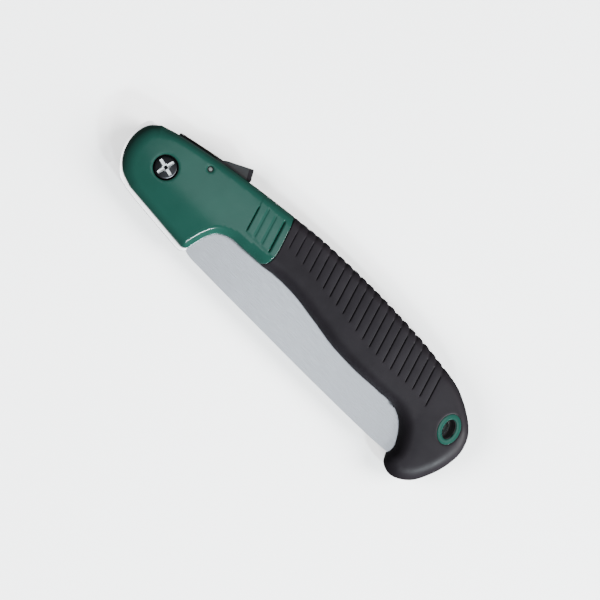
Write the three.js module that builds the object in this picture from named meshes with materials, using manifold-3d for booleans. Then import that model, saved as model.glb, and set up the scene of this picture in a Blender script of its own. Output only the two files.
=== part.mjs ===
// Folding pruning saw, closed, lying on its right side. Millimetres, +Z up.
// X runs from the pivot head to the tail of the handle, +Y towards the handle's back,
// +Z towards the left side of the saw. The saw is drawn around the blade's pivot and then
// shifted, so that the origin ends up at the bottom centre of its box.

import * as THREE from 'three';
import { mergeVertices } from 'three/addons/utils/BufferGeometryUtils.js';
import Module from 'manifold-3d';

const wasm = await Module();
wasm.setup();

// ---------------------------------------------------------------- driving dimensions (mm)

const GAP = 0.3;                  // clearance between pieces that rest on each other
const SPLIT = 0.15;               // each handle half stays this far from the middle plane

const HALF_THICKNESS = 10.5;      // handle, middle plane to cheek
const HEAD_EDGE = 3.0;            // rounding of the green head's rim
const GRIP_EDGE = 4.4;            // rounding of the rubber grip
const RUBBER = 2.2;               // thickness of the rubber over the green core
const SLOT_HALF = 1.65;           // blade slot in the grip, half width
const LINER_IN = 1.65;            // liner plate, inner face
const LINER_OUT = 2.65;           // liner plate, outer face
const BLADE_HALF = 0.75;          // blade, half thickness

const TANG_R = 14.4;              // round tang of the blade
const SWING = 170;                // blade opening angle, degrees
const NOTCH_ANGLE = 110.9;        // lock notch of the closed blade, degrees from +X
const NOTCH_FLOOR_R = 12.8;
const NOTCH_WIDTH = 4.4;
const TIP_R = 193;                // reach of the slot for the blade's tip, from the pivot
const TOOTH_PITCH = 4.0;
const TOOTH_DEPTH = 3.0;
const TEETH = [[187.0, -4.9], [35.5, 11.9]];   // line of the tooth tips, tip end first

const PIVOT_HOLE_R = 3.9;
const LEVER_PIN = [16.2, 14.8];
const LEVER_PIN_R = 1.2;
const STOP_PIN = [-13, 9.5];
const STOP_PIN_R = 1.4;
const LEVER_HALF = 4.0;           // thumb lever, half width
const PLATE_HALF = 1.2;           // steel lock plate inside it, half thickness

const SCREW_PLACES = [[42, 19], [118, 17], [176, 12]];
const HANG_HOLE = { x: 191.9, y: 5.6, half: [3.25, 5.6], ring: [6.0, 8.1], lean: 17 };

const RIBS = { first: 70.3, count: 21, pitch: 5.07, width: 1.2, depth: 0.7, lean: 16 };
const PANEL = { first: 46.8, count: 4, pitch: 5.07 };   // ribbed panel of the head, with the ribs' lean

// ---------------------------------------------------------------- outlines, around the pivot

// Points on a smooth curve through a few given places, about `step` mm apart.
function smooth(places, step) {
  const points = places.map(([x, y]) => new THREE.Vector3(x, y, 0));
  const curve = new THREE.CatmullRomCurve3(points, false, 'centripetal');
  const count = Math.max(2, Math.round(curve.getLength() / step));
  return curve.getSpacedPoints(count).map((p) => [p.x, p.y]);
}

// Points on an arc about a centre, from one angle to another, in degrees.
function arc(cx, cy, r, from, to, count) {
  const points = [];
  for (let i = 0; i <= count; i += 1) {
    const angle = THREE.MathUtils.degToRad(from + ((to - from) * i) / count);
    points.push([cx + r * Math.cos(angle), cy + r * Math.sin(angle)]);
  }
  return points;
}

// One closed loop from several runs of points, dropping points that repeat.
function loop(...runs) {
  const points = runs.flat();
  return points.filter(([x, y], i) => {
    const [px, py] = points[(i + points.length - 1) % points.length];
    return Math.hypot(x - px, y - py) > 0.02;
  });
}

function signedArea(points) {
  return points.reduce((sum, [x, y], i) => {
    const [nx, ny] = points[(i + 1) % points.length];
    return sum + (x * ny - nx * y) / 2;
  }, 0);
}

// The same loop moved outwards by a distance, or inwards where it is negative.
function grow(points, distance) {
  const side = Math.sign(signedArea(points));
  return points.map(([x, y], i) => {
    const [px, py] = points[(i + points.length - 1) % points.length];
    const [nx, ny] = points[(i + 1) % points.length];
    const a = new THREE.Vector2(y - py, px - x).normalize();
    const b = new THREE.Vector2(ny - y, x - nx).normalize();
    const out = a.clone().add(b).normalize();
    const reach = (side * distance) / Math.max(0.5, out.dot(a));
    return [x + out.x * reach, y + out.y * reach];
  });
}

// Back edge of the handle, nose to tail.
const BACK = smooth([
  [-16, 13.7], [-5, 16.9], [10, 20], [25, 22.8], [45, 25.5], [63, 27.6], [78, 29.2],
  [98, 30], [120, 30.1], [142, 29.2], [158, 28], [170, 26.4],
], 7);

function backAt(x) {
  const i = Math.max(1, BACK.findIndex(([bx]) => bx >= x));
  const [[x0, y0], [x1, y1]] = [BACK[i - 1], BACK[i]];
  return y0 + ((y1 - y0) * (x - x0)) / (x1 - x0);
}

const TAIL = smooth([
  [170, 26.4], [182, 24], [194, 18], [202, 11], [205.4, 2.5], [205.1, -6], [202, -16.7],
  [196.4, -26.4], [188, -31], [181.6, -28.8], [178.7, -24.4],
], 3.5);
const GRIP_UNDER = smooth([
  [178.7, -24.4], [179.4, -20], [176.8, -14.2], [172, -8.4], [165, -5], [154, -5], [140, -5.7],
  [122, -5], [106, -2.4], [90, -0.1], [76, 0], [67, -1.3],
], 5.6);
const CONCAVE = smooth([
  [67, -1.3], [56, -1.8], [47, -2.4], [41, -5.6], [38, -11], [36, -18.6],
], 3);
const HEAD_CORNER = arc(32, -18.6, 4, -8, -88, 4);
const NOSE = smooth([
  [-6, -19], [-14.2, -15.8], [-20, -9], [-22.5, 1], [-20.7, 9], [-16, 13.7],
], 2.6);

// The front and the rear of the handle overlap where the green head meets the black grip.
const REAR_START = 40;
const FRONT_END = 82;
const before = (run, x) => run.filter((place) => place[0] < x);
const after = (run, x) => run.filter((place) => place[0] > x);
const FRONT = loop(before(BACK, FRONT_END), before(GRIP_UNDER, FRONT_END), CONCAVE, HEAD_CORNER, NOSE);
const REAR = loop(
  after(BACK, REAR_START + 4), TAIL, GRIP_UNDER, after(CONCAVE, 53),
  [[REAR_START, -1.6], [REAR_START, backAt(REAR_START)]],
);

// Steel liner plate. Its nose and lower edge stand proud of the green head.
const LINER_NOSE = smooth([
  [30.5, -24.3], [-7, -20.3], [-13, -18.4], [-18.4, -13], [-22.4, -5.6], [-23.8, 2],
  [-23.2, 8.4], [-20.9, 12.1], [-17.6, 12.3],
], 3);
const LINER_CORNER = smooth([[34.8, -18], [35.4, -22.2], [33.2, -24.1], [30.5, -24.3]], 1.6);
const LINER = loop(
  LINER_NOSE,
  [-4, 12, 28, 46, 61].map((x) => [x, backAt(x) - 3]),
  [[61, -0.2], [46, -0.8], [40, -4.4], [36.8, -10.6]],
  LINER_CORNER,
);

// Line between the green head and the black grip.
const GRIP_FRONT = smooth([[62.2, 34], [62.7, 27.7], [66, 18], [69.1, 6.5], [68.8, 1.2], [66, -4]], 4);

function pieceOfHandle(side) {
  const far = side === 'head' ? -60 : 260;
  const shift = side === 'head' ? -GAP / 2 : GAP / 2;
  const edge = GRIP_FRONT.map(([x, y]) => [x + shift, y]);
  return loop(edge, [[edge.at(-1)[0], -60], [far, -60], [far, 60], [edge[0][0], 60]]);
}

// ---------------------------------------------------------------- solids

function toSolid(geometry) {
  const bare = new THREE.BufferGeometry();
  bare.setAttribute('position', geometry.getAttribute('position'));
  bare.setIndex(geometry.getIndex());
  const merged = mergeVertices(bare, 1e-4);
  const mesh = new wasm.Mesh({
    numProp: 3,
    vertProperties: new Float32Array(merged.getAttribute('position').array),
    triVerts: new Uint32Array(merged.getIndex().array),
  });
  return new wasm.Manifold(mesh);
}

function toGeometry(solid) {
  const { vertProperties, triVerts, numProp } = solid.getMesh();
  const position = new Float32Array((vertProperties.length / numProp) * 3);
  for (let i = 0; i < position.length / 3; i += 1) {
    position.set(vertProperties.subarray(i * numProp, i * numProp + 3), i * 3);
  }
  const geometry = new THREE.BufferGeometry();
  geometry.setAttribute('position', new THREE.BufferAttribute(position, 3));
  geometry.setIndex(new THREE.BufferAttribute(triVerts, 1));
  return geometry;
}

// A plate of the given outline between two heights, its rims rounded inwards by `edge`.
function slab(points, low, high, edge = 0, steps = 2) {
  const shape = new THREE.Shape(points.map(([x, y]) => new THREE.Vector2(x, y)));
  const geometry = new THREE.ExtrudeGeometry(shape, {
    depth: high - low - 2 * edge,
    bevelEnabled: edge > 0,
    bevelThickness: edge,
    bevelSize: edge,
    bevelOffset: -edge,
    bevelSegments: steps,
  });
  geometry.translate(0, 0, low + edge);
  return toSolid(geometry);
}

function disc(x, y, r, low, high, sides = 28) {
  const geometry = new THREE.CylinderGeometry(r, r, high - low, sides);
  geometry.rotateX(Math.PI / 2);
  geometry.translate(x, y, (low + high) / 2);
  return toSolid(geometry);
}

function block(cx, cy, cz, dx, dy, dz, turn = 0) {
  const geometry = new THREE.BoxGeometry(dx, dy, dz);
  geometry.rotateZ(THREE.MathUtils.degToRad(turn));
  geometry.translate(cx, cy, cz);
  return toSolid(geometry);
}

// Turned piece about an axis along Z through a place; the profile holds [radius, height] pairs.
function turned(x, y, profile, sides = 24) {
  const points = [...profile, profile[0]].map(([r, z]) => new THREE.Vector2(r, z));
  const geometry = new THREE.LatheGeometry(points, sides);
  geometry.rotateX(Math.PI / 2);
  geometry.translate(x, y, 0);
  return toSolid(geometry);
}

function tube(x, y, inner, outer, low, high) {
  return turned(x, y, [[inner, low], [outer, low], [outer, high], [inner, high]]);
}

function oval([half_x, half_y], low, high) {
  const turn = THREE.MathUtils.degToRad(HANG_HOLE.lean);
  const points = arc(0, 0, 1, 0, 345, 23).map(([c, s]) => [
    HANG_HOLE.x + half_x * c * Math.cos(turn) - half_y * s * Math.sin(turn),
    HANG_HOLE.y + half_x * c * Math.sin(turn) + half_y * s * Math.cos(turn),
  ]);
  return slab(points, low, high);
}

function join(solids) {
  return solids.reduce((all, solid) => all.add(solid));
}

// Everything on one side of the middle plane: side is +1 for left, -1 for right.
function halfSpace(side) {
  return block(90, 0, side * (SPLIT + 20), 400, 200, 40);
}

// ---------------------------------------------------------------- spaces cut from the handle

// Slot for the blade in the grip: a roof above the teeth, then the sweep of the blade's tip.
function bladeSlot() {
  const roof = [[30, 14.6], [184, -2.6], [187.4, -3.6]];
  const sweep = arc(0, 0, TIP_R, -2.2, -11, 5);
  return slab(loop(roof, sweep, [[188, -40], [30, -40]]), -SLOT_HALF, SLOT_HALF);
}

// Room for the two liner plates and everything between them.
function headCavity() {
  return slab(grow(LINER, GAP), -LINER_OUT - GAP, LINER_OUT + GAP);
}

// Trough along the back that the thumb lever lies in.
function leverTrough() {
  const floor = [-8.2, 8, 20, 37].map((x) => [x, backAt(x) - (x < 10 ? 3.6 : 4.8)]);
  const width = LEVER_HALF + 0.45;
  return slab(loop(floor, [[37, 40], [-8.2, 40]]), -width, width);
}

function shellScrewRoom(side) {
  const rooms = SCREW_PLACES.map(([x, y]) => {
    const shank = disc(x, y, 1.4 + GAP, -HALF_THICKNESS, 6.5, 16);
    return side < 0 ? shank.add(disc(x, y, 3 + GAP, -20, -7.2, 20)) : shank;
  });
  return join(rooms);
}

function pinRoom() {
  const [lx, ly] = LEVER_PIN;
  const [sx, sy] = STOP_PIN;
  return disc(lx, ly, LEVER_PIN_R + GAP, -20, 20, 20).add(disc(sx, sy, STOP_PIN_R + GAP, -5.3, 5.3, 20));
}

// Recess of the pivot bolt on the left, hexagonal seat of its nut on the right.
function pivotRoom(side) {
  const bore = disc(0, 0, 3.6 + GAP, -8, 8, 28);
  return side > 0
    ? bore.add(disc(0, 0, 6.5, 6.6, 20, 36))
    : bore.add(disc(0, 0, 5.4, -20, -6.6, 6));
}

// Slanted bars, one for each groove between the ribs.
function grooveBars(first, count, pitch, lowEnd, highEnd) {
  const lean = THREE.MathUtils.degToRad(RIBS.lean);
  const bars = [];
  for (let i = 0; i < count; i += 1) {
    const x = first + i * pitch;
    const low = lowEnd(x);
    const high = highEnd(x);
    const middle = (low + high) / 2;
    const cx = x - (middle - 16.5) * Math.tan(lean);
    bars.push(block(cx, middle, 0, RIBS.width, (high - low) / Math.cos(lean), 40, RIBS.lean));
  }
  return join(bars);
}

// ---------------------------------------------------------------- handle halves

// The rounded handle less the depth of the grooves.
function grooveFloor(edge) {
  const half = HALF_THICKNESS - RIBS.depth;
  return slab(grow(REAR, -RIBS.depth), -half, half, edge);
}

function greenCore(side, clearance) {
  const half = HALF_THICKNESS - RUBBER + clearance;
  const outline = grow(REAR, clearance - RUBBER);
  return slab(outline, -half, half, 2).add(oval(HANG_HOLE.ring.map((r) => r + clearance), -20, 20));
}

function shell(side) {
  const cheek = HALF_THICKNESS - 0.3;
  const head = slab(FRONT, -HALF_THICKNESS, HALF_THICKNESS, HEAD_EDGE)
    .intersect(slab(pieceOfHandle('head'), -20, 20));
  const core = greenCore(side, 0).intersect(slab(pieceOfHandle('grip'), -20, cheek))
    .intersect(block(90, 0, 0, 400, 200, 2 * cheek));
  const bridge = greenCore(side, 0).intersect(block(65, 14, 0, 16, 60, 2 * (HALF_THICKNESS - RUBBER)));
  const panel = grooveBars(PANEL.first, PANEL.count, PANEL.pitch, () => 6, (x) => (x < 50 ? 18.6 : 22.2))
    .subtract(grooveFloor(HEAD_EDGE));
  return join([head, core, bridge])
    .intersect(halfSpace(side))
    .subtract(join([
      bladeSlot(), headCavity(), leverTrough(), shellScrewRoom(side), pinRoom(), pivotRoom(side),
      oval(HANG_HOLE.half, -20, 20), panel,
    ]));
}

function grip(side) {
  const ribs = grooveBars(
    RIBS.first, RIBS.count, RIBS.pitch,
    (x) => Math.max(6.8, 14.4 - 0.14 * (x - 70)), () => 40,
  ).subtract(grooveFloor(GRIP_EDGE));
  return slab(REAR, -HALF_THICKNESS, HALF_THICKNESS, GRIP_EDGE)
    .intersect(slab(pieceOfHandle('grip'), -20, 20))
    .intersect(halfSpace(side))
    .subtract(join([
      greenCore(side, GAP), bladeSlot(), shellScrewRoom(side), ribs,
    ]));
}

// ---------------------------------------------------------------- pieces between the halves

function liner(side) {
  const [low, high] = side > 0 ? [LINER_IN, LINER_OUT] : [-LINER_OUT, -LINER_IN];
  return slab(LINER, low, high)
    .subtract(join([
      disc(0, 0, PIVOT_HOLE_R, -5, 5), pinRoom(), leverTrough(), shellScrewRoom(1),
    ]));
}

// Blade with a round tang, two lock notches, a shoulder for the stop pin and raked teeth.
function blade() {
  const [[x0, y0], [x1, y1]] = TEETH;
  const count = Math.round(Math.hypot(x1 - x0, y1 - y0) / TOOTH_PITCH);
  const along = [(x1 - x0) / count, (y1 - y0) / count];
  const down = [along[1], -along[0]].map((v) => (v * TOOTH_DEPTH) / Math.hypot(...along));
  const teeth = [];
  for (let i = 0; i < count; i += 1) {
    const [tx, ty] = [x0 + along[0] * i, y0 + along[1] * i];
    teeth.push([tx, ty], [tx + along[0] * 0.3 - down[0], ty + along[1] * 0.3 - down[1]]);
  }
  const rim = arc(0, 0, TANG_R, 52, 319.9, 60);
  const shoulder = arc(0, 0, 19, 319.9, 319.9, 1);
  const spine = smooth([
    [34, -21.2], [38, -22.7], [50, -23.3], [90, -24], [130, -24.5], [174, -24], [181, -23],
    [187, -18.4], [189.9, -12], [189.2, -7.6],
  ], 9);
  const notch = (angle) => {
    const turn = THREE.MathUtils.degToRad(angle);
    const r = NOTCH_FLOOR_R + 3;
    return block(r * Math.cos(turn), r * Math.sin(turn), 0, 6, NOTCH_WIDTH, 4, angle);
  };
  return slab(loop(rim, shoulder, spine, teeth, [[x1, y1], [22, 10.6]]), -BLADE_HALF, BLADE_HALF)
    .subtract(join([disc(0, 0, PIVOT_HOLE_R, -3, 3), notch(NOTCH_ANGLE), notch(NOTCH_ANGLE + SWING)]));
}

// Spacer behind the lever: keeps the liners apart, seats the spring and stops the closed blade.
function backSpacer() {
  const half = LINER_IN - GAP;
  const top = [60, 46, 37.6].map((x) => [x, backAt(x) - 3.4]);
  const floor = [[25.2, 12.7], [34.5, 12.7], [37, 13.6], [60, 11.1]];
  return slab(loop(floor, top, [[37.6, 15], [25.2, 15]]), -half, half)
    .subtract(shellScrewRoom(1));
}

// ---------------------------------------------------------------- lock lever

// Outline of the steel plate with the hook at its front end; it turns on the lever pin.
function plateOutline() {
  const [px, py] = LEVER_PIN;
  const hook = [[-6.4, 13.4], [-3.6, 14.4], [-3.4, 16.2], [6, 16.6]];
  const boss = arc(px, py, 2.9, 215, 335, 8);
  const tail = [[20.4, 17], [24, 19.2], [30.5, 24.4], [29.6, 26.2], [20.6, 22.4], [17, backAt(17) + 0.15]];
  const top = [8, -6.4].map((x) => [x, backAt(x) + 0.15]);
  return loop(hook, boss, tail, top);
}

function lockPlate() {
  return slab(plateOutline(), -PLATE_HALF, PLATE_HALF)
    .subtract(disc(...LEVER_PIN, LEVER_PIN_R + GAP, -3, 3, 20));
}

function thumbLever() {
  const under = [-6.7, 4, 14].map((x) => [x, backAt(x) + 0.5]);
  const pad = [[19, 19.9], [34.5, 22.9], [35, 25], [32, 30.3], [19.7, 24.2], [18, 22.9]];
  const top = [14, 4, -6.7].map((x) => [x, backAt(x) + 1.4]);
  const room = slab(grow(plateOutline(), GAP), -PLATE_HALF - GAP, PLATE_HALF + GAP);
  return slab(loop(under, pad, top), -LEVER_HALF, LEVER_HALF, 0.25, 1).subtract(room);
}

// Compression spring under the thumb pad, a closed helix with its axis along Y.
function lockSpring() {
  const turns = 5;
  const [low, high] = [15.6, 20.9];
  class Helix extends THREE.Curve {
    getPoint(t, target = new THREE.Vector3()) {
      const angle = 2 * Math.PI * turns * t;
      return target.set(28 + Math.cos(angle), low + (high - low) * t, Math.sin(angle));
    }
  }
  const wire = new THREE.Shape(arc(0, 0, 0.28, 0, 300, 5).map(([x, y]) => new THREE.Vector2(x, y)));
  return toSolid(new THREE.ExtrudeGeometry(wire, { steps: turns * 12, extrudePath: new Helix() }));
}

// ---------------------------------------------------------------- pivot and fasteners

// Cross-head bolt: low domed head on the left, shank down to the nut.
function pivotBolt() {
  const head = turned(0, 0, [[0, -9.4], [2.2, -9.4], [2.2, 7.7], [5.6, 7.7], [5.6, 8.9], [4.3, 9.8], [0, 10]]);
  const slots = [0, 90].map((turn) => block(0, 0, 9.6, 6.4, 1.3, 2.4, turn + 28));
  return head.subtract(join(slots));
}

function pivotNut() {
  return disc(0, 0, 5.0, -10, -6.9, 6).subtract(disc(0, 0, 2.2 + GAP, -11, -5, 24));
}

function shellScrew([x, y]) {
  const body = turned(x, y, [[0, -9.6], [3, -9.2], [3, -7.5], [1.4, -7.5], [1.4, 6], [0, 6]], 20);
  const slots = [0, 90].map((turn) => block(x, y, -9.6, 3.6, 0.8, 2, turn));
  return body.subtract(join(slots));
}

function pin([x, y], r, half) {
  return turned(x, y, [[0, -half], [r - 0.2, -half], [r, 0.2 - half], [r, half - 0.2], [r - 0.2, half], [0, half]], 20);
}

// ---------------------------------------------------------------- the assembly

const GREEN = { color: 0x2c6454, roughness: 0.45, metalness: 0 };
const RUBBER_BLACK = { color: 0x2a292d, roughness: 0.75, metalness: 0 };
const PLASTIC_BLACK = { color: 0x302f31, roughness: 0.5, metalness: 0 };
const BLADE_STEEL = { color: 0xc4c6cb, roughness: 0.3, metalness: 1 };
const LINER_STEEL = { color: 0xd9dadc, roughness: 0.2, metalness: 1 };
const SCREW_STEEL = { color: 0x77787c, roughness: 0.3, metalness: 1 };
const PLATE_STEEL = { color: 0x8d8e90, roughness: 0.35, metalness: 1 };
const WASHER_BRONZE = { color: 0xa98a55, roughness: 0.4, metalness: 1 };

const saw = new THREE.Group();

function put(name, solid, finish) {
  const mesh = new THREE.Mesh(toGeometry(solid), new THREE.MeshStandardMaterial(finish));
  mesh.name = name;
  saw.add(mesh);
}

for (const [name, side] of [['left', 1], ['right', -1]]) {
  put(`${name}_shell`, shell(side), GREEN);
  put(`${name}_grip`, grip(side), RUBBER_BLACK);
  put(`${name}_liner`, liner(side), LINER_STEEL);
  const faces = [BLADE_HALF + 0.25, LINER_IN - 0.25].map((z) => side * z).sort((a, b) => a - b);
  put(`${name}_washer`, tube(0, 0, PIVOT_HOLE_R, 9, ...faces), WASHER_BRONZE);
}
put('blade', blade(), BLADE_STEEL);
put('pivot_bush', tube(0, 0, 2.2 + GAP, PIVOT_HOLE_R - GAP, -6.2, 6.2), SCREW_STEEL);
put('pivot_bolt', pivotBolt(), SCREW_STEEL);
put('pivot_nut', pivotNut(), SCREW_STEEL);
put('spring_washer', tube(0, 0, 2.2 + GAP, 6.1, 6.9, 7.4), SCREW_STEEL);
put('stop_pin', pin(STOP_PIN, STOP_PIN_R, 5), SCREW_STEEL);
put('back_spacer', backSpacer(), LINER_STEEL);
put('lever_pin', pin(LEVER_PIN, LEVER_PIN_R, HALF_THICKNESS - 0.1), SCREW_STEEL);
put('lock_plate', lockPlate(), PLATE_STEEL);
put('thumb_lever', thumbLever(), PLASTIC_BLACK);
put('lock_spring', lockSpring(), SCREW_STEEL);
SCREW_PLACES.forEach((place, i) => put(`shell_screw_${i + 1}`, shellScrew(place), SCREW_STEEL));

// Shift the saw so that its box stands on the origin.
const box = new THREE.Box3().setFromObject(saw);
const centre = box.getCenter(new THREE.Vector3());
saw.position.set(-centre.x, -centre.y, -box.min.z);

export default saw;
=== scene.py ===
# Looks of a folding pruning saw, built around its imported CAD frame.
# Outlines are in millimetres about the blade's pivot, as in the part's own source, with X from the
# head to the tail and Y towards the handle's back. place() turns them into metres in the row frame.

from math import cos, degrees, pi, radians, sin, tan

import bpy
import bmesh
import numpy as np
from mathutils import Matrix, Vector
from mathutils.geometry import delaunay_2d_cdt
from mathutils.kdtree import KDTree

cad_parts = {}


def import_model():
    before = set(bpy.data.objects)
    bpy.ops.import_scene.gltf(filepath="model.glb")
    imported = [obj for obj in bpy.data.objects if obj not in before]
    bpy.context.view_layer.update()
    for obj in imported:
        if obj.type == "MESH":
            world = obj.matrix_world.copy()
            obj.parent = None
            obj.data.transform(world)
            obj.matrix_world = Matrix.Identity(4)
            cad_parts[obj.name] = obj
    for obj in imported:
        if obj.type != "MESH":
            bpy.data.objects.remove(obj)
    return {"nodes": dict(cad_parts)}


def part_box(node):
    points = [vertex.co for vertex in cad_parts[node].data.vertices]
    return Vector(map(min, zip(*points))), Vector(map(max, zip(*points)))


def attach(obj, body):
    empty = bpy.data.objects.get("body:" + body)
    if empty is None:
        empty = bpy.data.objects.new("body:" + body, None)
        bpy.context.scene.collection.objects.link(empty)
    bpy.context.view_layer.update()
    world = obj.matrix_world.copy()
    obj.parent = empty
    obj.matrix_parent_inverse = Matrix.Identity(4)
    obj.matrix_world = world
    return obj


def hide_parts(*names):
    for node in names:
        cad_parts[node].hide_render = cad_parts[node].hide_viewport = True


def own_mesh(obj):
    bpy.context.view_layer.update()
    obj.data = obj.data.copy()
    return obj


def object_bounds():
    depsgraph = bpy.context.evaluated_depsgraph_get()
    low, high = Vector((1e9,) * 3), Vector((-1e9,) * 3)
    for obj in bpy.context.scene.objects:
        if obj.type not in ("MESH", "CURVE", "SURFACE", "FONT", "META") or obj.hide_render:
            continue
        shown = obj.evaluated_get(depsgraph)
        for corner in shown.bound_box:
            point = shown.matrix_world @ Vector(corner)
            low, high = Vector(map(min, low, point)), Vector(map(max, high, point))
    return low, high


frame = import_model()
cad_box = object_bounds()

# ---------------- driving dimensions, mm

MM = 0.001
PIVOT_LOW, PIVOT_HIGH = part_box("pivot_bolt")
PIVOT = (PIVOT_LOW + PIVOT_HIGH) / 2
MIDDLE = (cad_box[0][2] + cad_box[1][2]) / 2

HALF = 10.42              # middle plane to the highest point of a cheek
SPLIT = 0.12              # each half ends this far from the middle plane
SLOT = 1.65               # half width of the blade slot
LINER_IN, LINER_OUT = 1.65, 2.65
SHELL_IN = 2.95           # inner face of the head's shells
BLADE_HALF = 0.75

LEVER_PIN = (16.2, 14.8)
LEVER_HALF = 4.0
SCREWS = [(42, 19), (118, 17), (176, 12)]
HANG_HOLE = {"centre": (191.9, 5.6), "half": (3.15, 5.25), "ring": (5.7, 8.1), "lean": 17}
RIB_FIRST, RIB_COUNT, RIB_PITCH, RIB_LEAN = 70.3, 21, 5.07, 16
PANEL_FIRST, PANEL_COUNT = 46.8, 4    # the head's ribbed panel has the ribs' pitch and lean
RIB_LEVEL = 16.5          # a rib's place along the handle is where its line crosses this height

# Recesses in a half's face, by radius, and the height of each one's floor over the middle plane.
BOLT_RECESS, NUT_RECESS, PIVOT_SEAT = 6.5, 5.4, 6.6
PIN_RECESS, PIN_SEAT = 1.6, 8.2
SCREW_RECESS, SCREW_SEAT = 3.3, 7.2

LINER_TOP = 3.0           # depth of the liners' upper edge below the back
LINER_ROOM_END = 61.3     # how far the room for the liners reaches into the handle
TROUGH = (-8.2, 37)       # ends of the lever's trough
TROUGH_DEPTH = 4.2        # depth of its floor below the back
RING_LOW = 7.4            # lower face of the hanging hole's rim

# The lever's coil spring, along Y. Its seat stays put, and the middle of its wire runs from LOW to HIGH.
SPRING_X, SPRING_SEAT, SPRING_LOW, SPRING_HIGH = 28, 15.3, 15.6, 20.9

# ---------------- points and outlines


def place(x, y, z):
    """A point of the drawing, with z from the middle plane, in the row frame in metres."""
    return Vector((PIVOT.x + x * MM, PIVOT.y + y * MM, MIDDLE + z * MM))


def between(t, start, a, end, b):
    return (end - t) / (end - start) * a + (t - start) / (end - start) * b


def smooth(places, step):
    """Evenly spaced points on a centripetal Catmull-Rom curve through the places."""
    p = np.array(places, float)
    p = np.vstack([2 * p[0] - p[1], p, 2 * p[-1] - p[-2]])
    fine = []
    for a, b, c, d in zip(p, p[1:], p[2:], p[3:]):
        k1 = np.sqrt(np.linalg.norm(b - a))
        k2 = k1 + np.sqrt(np.linalg.norm(c - b))
        k3 = k2 + np.sqrt(np.linalg.norm(d - c))
        for t in np.linspace(k1, k2, 24, endpoint=False):
            ab, bc, cd = between(t, 0, a, k1, b), between(t, k1, b, k2, c), between(t, k2, c, k3, d)
            fine.append(between(t, k1, between(t, 0, ab, k2, bc), k2, between(t, k1, bc, k3, cd)))
    fine.append(p[-2])
    return resample(np.array(fine), step)


def resample(points, step):
    lengths = np.concatenate([[0], np.cumsum(np.linalg.norm(np.diff(points, axis=0), axis=1))])
    count = max(2, int(round(lengths[-1] / step))) + 1
    at = np.linspace(0, lengths[-1], count)
    return np.column_stack([np.interp(at, lengths, points[:, k]) for k in (0, 1)])


def arc(cx, cy, r, start, end, count):
    angles = np.radians(np.linspace(start, end, count + 1))
    return np.column_stack([cx + r * np.cos(angles), cy + r * np.sin(angles)])


def circle(x, y, r, count=40):
    return arc(x, y, r, 0, 360 - 360 / count, count - 1)


def loop(*runs):
    """One closed counter-clockwise outline, without repeated points."""
    points = np.vstack([np.array(run, float).reshape(-1, 2) for run in runs])
    keep = np.linalg.norm(points - np.roll(points, 1, axis=0), axis=1) > 0.02
    points = points[keep]
    x, y = points.T
    area = np.sum(x * np.roll(y, -1) - np.roll(x, -1) * y)
    return points if area > 0 else points[::-1]


def sideways(line):
    """Unit vectors across an open line, to its right."""
    step = np.gradient(line, axis=0)
    return np.column_stack([step[:, 1], -step[:, 0]]) / np.linalg.norm(step, axis=1, keepdims=True)


def outward(points):
    """Unit normals of a closed counter-clockwise outline."""
    step = np.roll(points, -1, axis=0) - np.roll(points, 1, axis=0)
    step /= np.linalg.norm(step, axis=1, keepdims=True)
    return np.column_stack([step[:, 1], -step[:, 0]])


def inside(points, outline):
    """True for each point that lies inside a closed outline."""
    result = np.zeros(len(points), bool)
    x, y = points.T
    for (x0, y0), (x1, y1) in zip(outline, np.roll(outline, -1, axis=0)):
        crosses = (y0 > y) != (y1 > y)
        with np.errstate(divide="ignore", invalid="ignore"):
            at = (x1 - x0) * (y - y0) / (y1 - y0) + x0
        result ^= crosses & (x < at)
    return result


def nearest_on(points, line, closed=True):
    """Distance of each point from a finely divided line, where along it (in steps) its nearest
    place is, and the vector there."""
    tree = KDTree(len(line))
    for i, (x, y) in enumerate(line):
        tree.insert((x, y, 0), i)
    tree.balance()
    index = np.array([tree.find((x, y, 0))[1] for x, y in points], int)
    best = np.full(len(points), 1e9)
    where = np.zeros(len(points))
    way = np.zeros((len(points), 2))
    for first in (index - 1, index):
        start = first % len(line) if closed else np.clip(first, 0, len(line) - 2)
        a, b = line[start], line[(start + 1) % len(line)]
        span = b - a
        t = np.clip(((points - a) * span).sum(axis=1) / (span ** 2).sum(axis=1), 0, 1)
        off = a + t[:, None] * span - points
        length = np.linalg.norm(off, axis=1)
        closer = length < best
        best[closer], where[closer], way[closer] = length[closer], (start + t)[closer], off[closer]
    return best, where, way


def distance(points, line, closed=True):
    if len(points) == 0:
        return np.zeros(0)
    return nearest_on(points, line, closed)[0]


BACK = smooth([
    (-16, 13.7), (-5, 16.9), (10, 20), (25, 22.8), (45, 25.5), (63, 27.6), (78, 29.2),
    (98, 30), (120, 30.1), (142, 29.2), (158, 28), (170, 26.4),
], 0.42)
TAIL = smooth([
    (170, 26.4), (182, 24), (194, 18), (202, 11), (205.36, 2.5), (205.1, -6), (202, -16.7),
    (196.4, -26.4), (188, -30.86), (181.6, -28.8), (178.7, -24.4),
], 0.8)
GRIP_UNDER = smooth([
    (178.7, -24.4), (179.4, -20), (176.8, -14.2), (172, -8.4), (165, -5), (154, -5), (140, -5.7),
    (122, -5), (106, -2.4), (90, -0.1), (76, 0), (67, -1.3),
], 0.9)
CONCAVE = smooth([
    (67, -1.3), (56, -1.8), (47, -2.4), (41, -5.6), (38, -11), (36, -18.6),
], 0.8)
HEAD_CORNER = arc(32, -18.6, 4, -8, -88, 12)
NOSE = smooth([
    (-6, -19), (-14.2, -15.8), (-20, -9), (-22.5, 1), (-20.7, 9), (-16, 13.7),
], 0.8)
HEAD_UNDER = resample(np.array([HEAD_CORNER[-1], NOSE[0]]), 1.2)
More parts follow.
